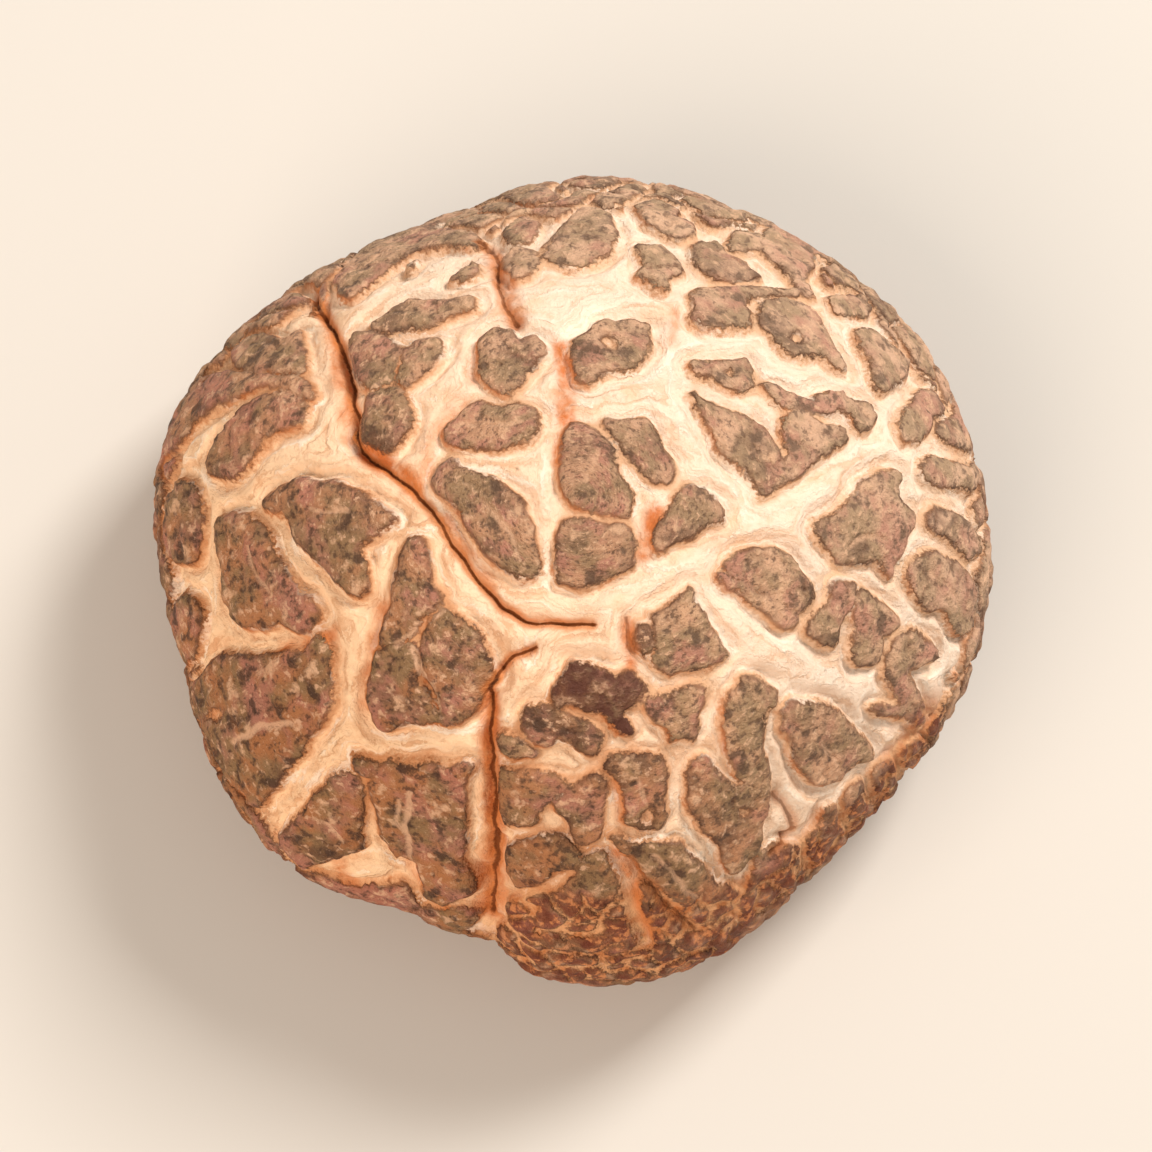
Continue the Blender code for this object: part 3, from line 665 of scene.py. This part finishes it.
def thin_underside(piece):
    """The underside, where gills hide the flesh, needs a tenth of the triangles."""
    make_active(piece)
    bpy.ops.object.mode_set(mode="EDIT")
    bpy.ops.mesh.select_all(action="DESELECT")
    bpy.ops.object.mode_set(mode="OBJECT")
    for face in piece.data.polygons:
        x, y, z = face.center / MM
        face.select = math.hypot(x, y) < 16.5 and z < 16.4 and face.normal.z < 0.9
    bpy.ops.object.mode_set(mode="EDIT")
    bpy.ops.mesh.select_mode(type="FACE")
    bpy.ops.mesh.decimate(ratio=0.12)
    bpy.ops.object.mode_set(mode="OBJECT")


# ---------------------------------------------------------------- gills and stem

# (radius, height) mm of a gill's root, just inside the flesh, and of its free edge
GILL_ROOT = ((6.3, 16.1), (9.9, 15.4), (13.7, 13.8), (16.0, 11.9), (17.2, 10.7))
GILL_FREE = ((6.3, 11.7), (9.0, 9.5), (13.0, 8.3), (15.6, 9.3), (17.2, 10.3))
LONG_GILLS = 98
GILL_THICKNESS = 0.19  # mm


def gill_heights(radius):
    return [np.interp(radius, *np.array(line).T) for line in (GILL_ROOT, GILL_FREE)]


def make_gill(name, inner):
    """One flat gill in the XZ plane, from the radius inner outward: a grid drawn to shape, then thickened."""
    deselect()
    bpy.ops.mesh.primitive_grid_add(x_subdivisions=18, y_subdivisions=4, size=2, location=(0, 0, 0))
    piece = bpy.context.object
    piece.name = name
    co = points_of(piece.data) * MM
    along, up = (co[:, 0] + 1) / 2, (co[:, 1] + 1) / 2
    radius = inner + (GILL_ROOT[-1][0] - inner) * along
    root, free = gill_heights(radius)
    start = 0.85 * (1 - ramp(along, 0, 0.3)) if inner > 7 else 0.25 * (1 - ramp(along, 0, 0.12))
    free = free + (root - free) * start
    set_points(piece.data, np.stack([radius, 0 * radius, free + (root - free) * up], axis=1))
    apply_modifier(piece, "SOLIDIFY", thickness=GILL_THICKNESS * MM, offset=0)
    return piece


def make_gills():
    """Long gills with a short or middling one between each two, each with its own waves, as one piece."""
    chooser = random.Random(5)
    patterns = [make_gill("long_gill", 6.3), make_gill("middling_gill", 9.4), make_gill("short_gill", 12.2)]
    copies = []
    for k in range(2 * LONG_GILLS):
        pattern_piece = patterns[0] if k % 2 == 0 else patterns[1 + (chooser.random() < 0.6)]
        gill = bpy.data.objects.new("gills", pattern_piece.data.copy())
        bpy.context.scene.collection.objects.link(gill)
        co = points_of(gill.data)
        root, free = gill_heights(co[:, 0])
        hang = np.clip((root - co[:, 2]) / (root - free + 0.1), 0, 1.2)
        wave = 0.20 * bumps(co, 4.0, 40 + k) * (0.3 + hang) + 0.13 * bumps(co, 1.6, 300 + k) * hang
        turn = 2 * math.pi * (k + chooser.uniform(-0.14, 0.14)) / (2 * LONG_GILLS)
        angle = turn + (co[:, 1] + wave) / co[:, 0]
        height = co[:, 2] + hang * (0.25 * bumps(co, 1.3, 600 + k) + 0.3 * chooser.uniform(-1, 1))
        x, y = co[:, 0] * np.cos(angle), co[:, 0] * np.sin(angle)
        set_points(gill.data, np.stack([x, y, height], axis=1))
        set_attribute(gill.data, "hang", hang)
        set_attribute(gill.data, "gill_tone", np.full(len(co), chooser.random()))
        copies.append(gill)
    deselect()
    for piece in patterns:
        piece.select_set(True)
    bpy.ops.object.delete()
    deselect()
    for gill in copies:
        gill.select_set(True)
    bpy.context.view_layer.objects.active = copies[0]
    bpy.ops.object.join()
    piece = bpy.context.view_layer.objects.active
    piece.name = "gill_leaves"
    piece.data.shade_smooth()
    return piece


def make_stem():
    """The CAD's stem with lengthwise wrinkles from drying, and a foot cut across with a knife."""
    piece = copy_of_node("stem", "stem_stalk")
    apply_modifier(piece, "SUBSURF", levels=3, render_levels=3)
    mesh = piece.data
    co, out = points_of(mesh), normals_of(mesh)
    side = ramp(1 - np.abs(out[:, 2]), 0.2, 0.7) * ramp(co[:, 2], 0.1, 1.4)
    stretched = co * (1, 1, 0.16)
    folds = -0.34 * np.abs(bumps(stretched, 1.5, 3)) - 0.16 * np.abs(bumps(stretched, 0.6, 4)) + 0.1
    folds += 0.2 * bumps(co, 3.0, 5)
    moved = co + out * (folds * side)[:, None]
    foot = ramp(-out[:, 2], 0.85, 0.98)
    pitted = np.maximum(0, 0.07 + 0.09 * bumps(co, 0.7, 8))
    pitted = pitted * ramp(5.1 - np.hypot(co[:, 0], co[:, 1]), 0, 0.3)
    moved[:, 2] += foot * pitted
    set_points(mesh, moved)
    set_attribute(mesh, "cut", foot)
    mesh.shade_smooth()
    return piece


# ---------------------------------------------------------------- materials

def add_node(tree, kind, settings=None, **links):
    """A node with its settings. Each link is an input's name (spaces as _) or number (as i0) with a value or
    a socket."""
    made = tree.nodes.new(kind)
    for key, value in (settings or {}).items():
        setattr(made, key, value)
    for key, value in links.items():
        socket = made.inputs[int(key[1:])] if key[1:].isdigit() else made.inputs[key.replace("_", " ")]
        if isinstance(value, bpy.types.NodeSocket):
            tree.links.new(value, socket)
        else:
            socket.default_value = value
    return made


def start_material(name):
    material = bpy.data.materials.new(name)
    material.use_nodes = True
    tree = material.node_tree
    return material, tree, tree.nodes["Principled BSDF"]


def attribute(tree, name):
    return add_node(tree, "ShaderNodeAttribute", {"attribute_name": name}).outputs["Fac"]


def pattern(tree, place, size_mm, detail=3.0, roughness=0.6):
    """Noise, 0 to 1, with features of that size."""
    made = add_node(tree, "ShaderNodeTexNoise", Vector=place, Scale=1 / (size_mm * MM), Detail=detail,
                    Roughness=roughness)
    return made.outputs["Fac"]


def math_node(tree, how, a, b=0.0, c=0.0):
    return add_node(tree, "ShaderNodeMath", {"operation": how}, i0=a, i1=b, i2=c).outputs[0]


def times(tree, a, b):
    return math_node(tree, "MULTIPLY", a, b)


def between(tree, value, low, high, to_low=0.0, to_high=1.0):
    """to_low where the value is low, to_high where it is high, eased in between; low may be the larger."""
    made = add_node(tree, "ShaderNodeMapRange", {"interpolation_type": "SMOOTHSTEP"}, i0=value, i1=low,
                    i2=high, i3=to_low, i4=to_high)
    return made.outputs[0]


def mixed(tree, share, a, b):
    made = add_node(tree, "ShaderNodeMix", {"data_type": "RGBA"}, i0=share, i6=a, i7=b)
    return made.outputs[2]


def layered(tree, colour, *layers):
    """The colour under layers, each (share covered, colour on top), or (value, low, high, most, colour on
    top) where the share covered goes from none to most as the value goes from low to high."""
    for *share, top in layers:
        if len(share) > 1:
            value, low, high, most = share
            share = [between(tree, value, low, high, 0.0, most)]
        colour = mixed(tree, share[0], colour, linear(top) if isinstance(top, str) else top)
    return colour


def vector_math(tree, how, output, a, **links):
    return add_node(tree, "ShaderNodeVectorMath", {"operation": how}, i0=a, **links).outputs[output]


def from_axis(tree, place):
    """Metres from the Z axis."""
    flat = vector_math(tree, "MULTIPLY", "Vector", place, i1=(1.0, 1.0, 0.0))
    return vector_math(tree, "LENGTH", "Value", flat)


def cap_material():
    """Dried shiitake skin and flesh. The skin dried brown, leathery and matt, and tore into plates with
    frayed edges; the flesh dried cream in torn layers. Painted shade makes the flesh tan by plate edges and
    in narrow cracks (partly its own tan), orange and dark in fissures and orange by walls turned from the
    light;
    painted light makes skin and flesh paler towards the upper right."""
    material, tree, shader = start_material("dried_shiitake_skin_and_flesh")
    place = add_node(tree, "ShaderNodeTexCoord").outputs["Object"]
    edge, span, tone, lee, fissure, across, depth, shade_strip, slit, crazed, rim, hollow = [
        attribute(tree, name) for name in (
            "plate_edge", "crack_span", "plate_tone", "lee", "fissure", "fissure_across", "fissure_depth",
            "shade_strip", "slit", "crazed", "rim", "hollow")]
    across = math_node(tree, "ABSOLUTE", across)

    # Patterns. The fibres are finer towards the rim.
    draw = math_node(tree, "DIVIDE", 0.030, math_node(tree, "ADD", from_axis(tree, place), 0.012))
    fibres = vector_math(tree, "SCALE", "Vector", place, Scale=draw)
    olive, cloud = pattern(tree, place, 2.3), pattern(tree, place, 2.9)
    ruddy, streak = pattern(tree, fibres, 3.1), pattern(tree, fibres, 0.62)
    blotch, grain = pattern(tree, place, 1.1, 4.0), pattern(tree, place, 0.3, 3.0, 0.65)
    fray = math_node(tree, "SUBTRACT", pattern(tree, place, 0.26, 4.0), 0.5)
    torn = math_node(tree, "MULTIPLY_ADD", fray, between(tree, olive, 0.35, 0.6, 0.2, 0.7), edge)
    sides = add_node(tree, "ShaderNodeSeparateXYZ", Vector=place)
    x, y = sides.outputs[0], sides.outputs[1]
    # Painted light: a share that rises towards the upper right, where the key light comes from; it pales and
    # greys the skin there
    key_side_painted_light = between(tree, math_node(tree, "MULTIPLY_ADD", y, 1.2, x), -0.030, 0.028)
    # Painted light: a share that rises towards the upper right, making the flesh's cream and tan paler on the
    # key light's side
    pale = between(tree, math_node(tree, "MULTIPLY_ADD", y, 0.7, x), -0.021, 0.010)

    # Skin
    scar = times(tree, between(tree, tone, -0.55, -1.0), between(tree, blotch, 0.62, 0.42, 0.3, 0.9))
    dark = times(tree, rim, between(tree, blotch, 0.62, 0.42, 0.35, 0.8))
    spot = times(tree, crazed, between(tree, streak, 0.52, 0.62, 0.0, 0.85))
    # Painted shade: a dark line just inside each plate's edge, in patches
    painted_edge_shade = times(tree, between(tree, torn, 0.3, 0.0), between(tree, cloud, 0.6, 0.4, 0.0, 0.6))
    # The skin's base goes paler towards the upper right as painted light, and the pale layer by that side is
    # a painted highlight
    skin = layered(
        tree, mixed(tree, key_side_painted_light, linear("#a66c41"), linear("#d0a688")),
        (tone, 0.0, 1.0, 0.8, "#dab08a"), (tone, 0.0, -1.0, 0.7, "#5a3018"),
        (olive, 0.38, 0.6, 0.72, "#7c6746"), (ruddy, 0.47, 0.66, 0.7, "#b07060"),
        (cloud, 0.47, 0.3, 0.75, "#563824"),
        (streak, 0.46, 0.34, 0.75, "#44291a"), (streak, 0.56, 0.68, 0.75, "#d8ab89"),
        (blotch, 0.46, 0.34, 0.85, "#402718"), (blotch, 0.56, 0.7, 0.75, "#dbae8a"),
        (grain, 0.6, 0.76, 0.35, "#e0b999"), (grain, 0.4, 0.26, 0.4, "#4a2a18"),
        (scar, "#4a170a"), (times(tree, key_side_painted_light, 0.18), "#dcb797"), (dark, "#6e2f17"), (spot, "#cf8450"),
        (slit, 0.12, -0.06, 0.75, "#d9ad8b"), (painted_edge_shade, "#5b341f"),
    )

    # Flesh, with layers that run along the torn edges
    # Flesh goes tan by plate edges and in narrow cracks, cream only out in wide cracks: partly its own tan,
    # partly painted shade
    deep = times(tree, between(tree, torn, -0.05, -0.4), between(tree, span, 0.2, 0.7))
    cream = mixed(tree, pale, linear("#f8d0a6"), linear("#f6dcc4"))
    tan = mixed(tree, pale, linear("#c8895a"), linear("#ddb08a"))
    from_edge = add_node(tree, "ShaderNodeCombineXYZ", X=times(tree, torn, MM)).outputs[0]
    slow = vector_math(tree, "SCALE", "Vector", place, Scale=0.16)
    layer = pattern(tree, vector_math(tree, "ADD", "Vector", from_edge, i1=slow), 0.42)
    # Painted shade: orange-brown flesh by torn walls that turn away from the key light at the upper right,
    # less where painted light falls
    painted_lee_shade = times(tree, between(tree, lee, 0.0, 0.8), between(tree, cloud, 0.46, 0.6, 0.05, 0.9))
    painted_lee_shade = times(tree, painted_lee_shade, between(tree, key_side_painted_light, 0.0, 1.0, 1.0, 0.6))
    painted_lee_shade = times(tree, between(tree, torn, -0.36, -0.06), painted_lee_shade)
    # Painted shade: darker brown flesh right against each plate's edge, in patches
    crease = times(tree, between(tree, torn, -0.2, 0.0), between(tree, blotch, 0.38, 0.58, 0.1, 0.7))
    burnished = mixed(tree, between(tree, blotch, 0.4, 0.6), linear("#bd7340"), linear("#dfa777"))
    # Painted shade: the orange-brown strips along walls turned from the light, in patches
    painted_strip_shade = times(tree, shade_strip, between(tree, blotch, 0.3, 0.6, 0.35, 0.95))
    flesh = layered(
        tree, mixed(tree, deep, tan, cream),
        (ruddy, 0.48, 0.68, 0.45, "#eabd92"), (blotch, 0.5, 0.72, 0.35, tan), (streak, 0.43, 0.3, 0.3, tan),
        (layer, 0.48, 0.34, 0.6, tan), (layer, 0.53, 0.68, 0.65, "#fdefdc"),
        (painted_lee_shade, "#bb6a34"), (crease, "#935a34"), (times(tree, rim, 0.8), burnished), (painted_strip_shade, "#cd7438"),
    )

    # Skin on flesh, then the fissures, and the flesh between gills and margin
    soft = between(tree, ruddy, 0.4, 0.62, 0.03, 0.16)
    on_skin = between(tree, torn, times(tree, soft, -1.0), soft)
    # Painted shade in the fissures: orange flesh along each fissure's middle and a dark brown line at its
    # bottom
    fissure_painted_shade = times(tree, between(tree, fissure, 0.5, 0.15), depth)
    line = math_node(tree, "MULTIPLY_ADD", fray, 0.12, across)
    line = times(tree, between(tree, line, 0.13, 0.05), between(tree, fissure, 0.35, 0.2))
    colour = layered(
        tree, mixed(tree, on_skin, flesh, skin),
        (times(tree, fissure_painted_shade, 0.8), "#cc7a3e"), (times(tree, line, depth), "#7b4119"), (hollow, "#d9ac74"),
    )
    tree.links.new(colour, shader.inputs["Base Color"])
    tree.links.new(between(tree, torn, -0.1, 0.1, 0.92, 0.7), shader.inputs["Roughness"])
    shader.inputs["Specular IOR Level"].default_value = 0.3
    skin_height = math_node(tree, "ADD", math_node(tree, "MULTIPLY_ADD", grain, 0.6, blotch), streak)
    torn_height = math_node(tree, "MULTIPLY_ADD", layer, 1.0, times(tree, grain, 0.35))
    step = math_node(tree, "SUBTRACT", skin_height, torn_height)
    height = math_node(tree, "MULTIPLY_ADD", step, between(tree, torn, -0.1, 0.1), torn_height)
    bump = add_node(tree, "ShaderNodeBump", Strength=0.8, Distance=0.0004, Height=height)
    tree.links.new(bump.outputs[0], shader.inputs["Normal"])
    return material


def gill_material():
    """Dried shiitake gills: thin leaves that dried straw to honey, browner at the free edge, and darker
    towards the root as painted shade.
    """
    material, tree, shader = start_material("dried_shiitake_gills")
    place = add_node(tree, "ShaderNodeTexCoord").outputs["Object"]
    hang, tone = attribute(tree, "hang"), attribute(tree, "gill_tone")
    cloud, grain = pattern(tree, place, 3.5), pattern(tree, place, 0.5, 4.0)
    colour = layered(
        # Darker towards the root is painted shade; the brown at the very free edge is the gills' own colour
        tree, mixed(tree, between(tree, hang, 0.1, 0.9), linear("#a06f3e"), linear("#dcb479")),
        (tone, 0.0, 1.0, 0.45, "#c18f54"), (cloud, 0.45, 0.7, 0.5, "#b5813f"),
        (grain, 0.5, 0.75, 0.4, "#edcd98"), (hang, 0.93, 1.0, 0.55, "#94602f"),
    )
    tree.links.new(colour, shader.inputs["Base Color"])
    shader.inputs["Roughness"].default_value = 0.85
    shader.inputs["Specular IOR Level"].default_value = 0.3
    bump = add_node(tree, "ShaderNodeBump", Strength=0.5, Distance=0.0002, Height=grain)
    tree.links.new(bump.outputs[0], shader.inputs["Normal"])
    return material


def stem_material():
    """A dried shiitake stalk: tough, fibrous and brown outside, cream and felted where the knife cut it."""
    material, tree, shader = start_material("dried_shiitake_stalk")
    place = add_node(tree, "ShaderNodeTexCoord").outputs["Object"]
    long = vector_math(tree, "MULTIPLY", "Vector", place, i1=(1.0, 1.0, 0.14))
    streak, fine = pattern(tree, long, 1.1, 4.0), pattern(tree, long, 0.35, 4.0, 0.7)
    felt, cloud = pattern(tree, place, 0.35, 4.0, 0.7), pattern(tree, place, 2.4)
    bark = layered(
        tree, mixed(tree, between(tree, streak, 0.35, 0.65), linear("#8a5c36"), linear("#bb8d5c")),
        (fine, 0.45, 0.25, 0.8, "#5a3820"), (fine, 0.58, 0.78, 0.7, "#dcb587"),
    )
    pith = between(tree, from_axis(tree, place), 0.0030, 0.0047)
    pith = layered(
        tree, mixed(tree, pith, linear("#e6c798"), linear("#b98850")),
        (felt, 0.5, 0.3, 0.6, "#a8773f"), (cloud, 0.5, 0.7, 0.5, "#caa066"),
    )
    colour = mixed(tree, between(tree, attribute(tree, "cut"), 0.3, 0.7), bark, pith)
    tree.links.new(colour, shader.inputs["Base Color"])
    shader.inputs["Roughness"].default_value = 0.85
    shader.inputs["Specular IOR Level"].default_value = 0.3
    height = math_node(tree, "ADD", fine, times(tree, felt, 0.6))
    bump = add_node(tree, "ShaderNodeBump", Strength=0.7, Distance=0.0003, Height=height)
    tree.links.new(bump.outputs[0], shader.inputs["Normal"])
    return material


def plain_material(name, colour, roughness):
    material, tree, shader = start_material(name)
    shader.inputs["Base Color"].default_value = linear(colour)
    shader.inputs["Roughness"].default_value = roughness
    return material


# ---------------------------------------------------------------- build

for piece, look, node, slot in (
    (make_cap(), cap_material(), "cap", "cap_skin_and_flesh"),
    (make_gills(), gill_material(), "gills", "dried_gills"),
    (make_stem(), stem_material(), "stem", "dried_stem"),
):
    piece.data.materials.clear()
    piece.data.materials.append(look)
    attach(piece, "root")
    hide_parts(node)

# ---------------------------------------------------------------- floor, light and camera

deselect()
bpy.ops.mesh.primitive_plane_add(size=2.0, location=(0, 0, 0))
floor = bpy.context.object
floor.name = "floor"
floor.data.materials.append(plain_material("pale_matt_board", "#d4d0c9", 0.9))


def add_area(name, place, size, power, colour):
    bpy.ops.object.light_add(type="AREA", location=place)
    light = bpy.context.object
    light.name = name
    light.data.size = size
    light.data.energy = power
    light.data.color = linear(colour)[:3]
    aim = Vector((0, 0, 0.01)) - Vector(place)
    light.rotation_euler = aim.to_track_quat("-Z", "Y").to_euler()


add_area("key", (0.25, 0.25, 0.37), 0.16, 2.5, "#fffaf4")
add_area("fill", (-0.30, -0.35, 0.36), 0.5, 2.7, "#ffe9d6")
world = bpy.data.worlds.new("studio")
world.use_nodes = True
world.node_tree.nodes["Background"].inputs["Color"].default_value = linear("#fff8f0")
world.node_tree.nodes["Background"].inputs["Strength"].default_value = 0.42
bpy.context.scene.world = world

camera = bpy.data.objects.new("camera", bpy.data.cameras.new("camera"))
bpy.context.scene.collection.objects.link(camera)
camera.data.lens = 250
camera.data.sensor_width = 36
camera.location = Vector(EYE) * MM
camera.rotation_euler = Vector(TO_EYE).to_track_quat("Z", "Y").to_euler()
camera.data.clip_start = 0.01
bpy.context.scene.camera = camera
bpy.context.scene.view_settings.view_transform = "Standard"
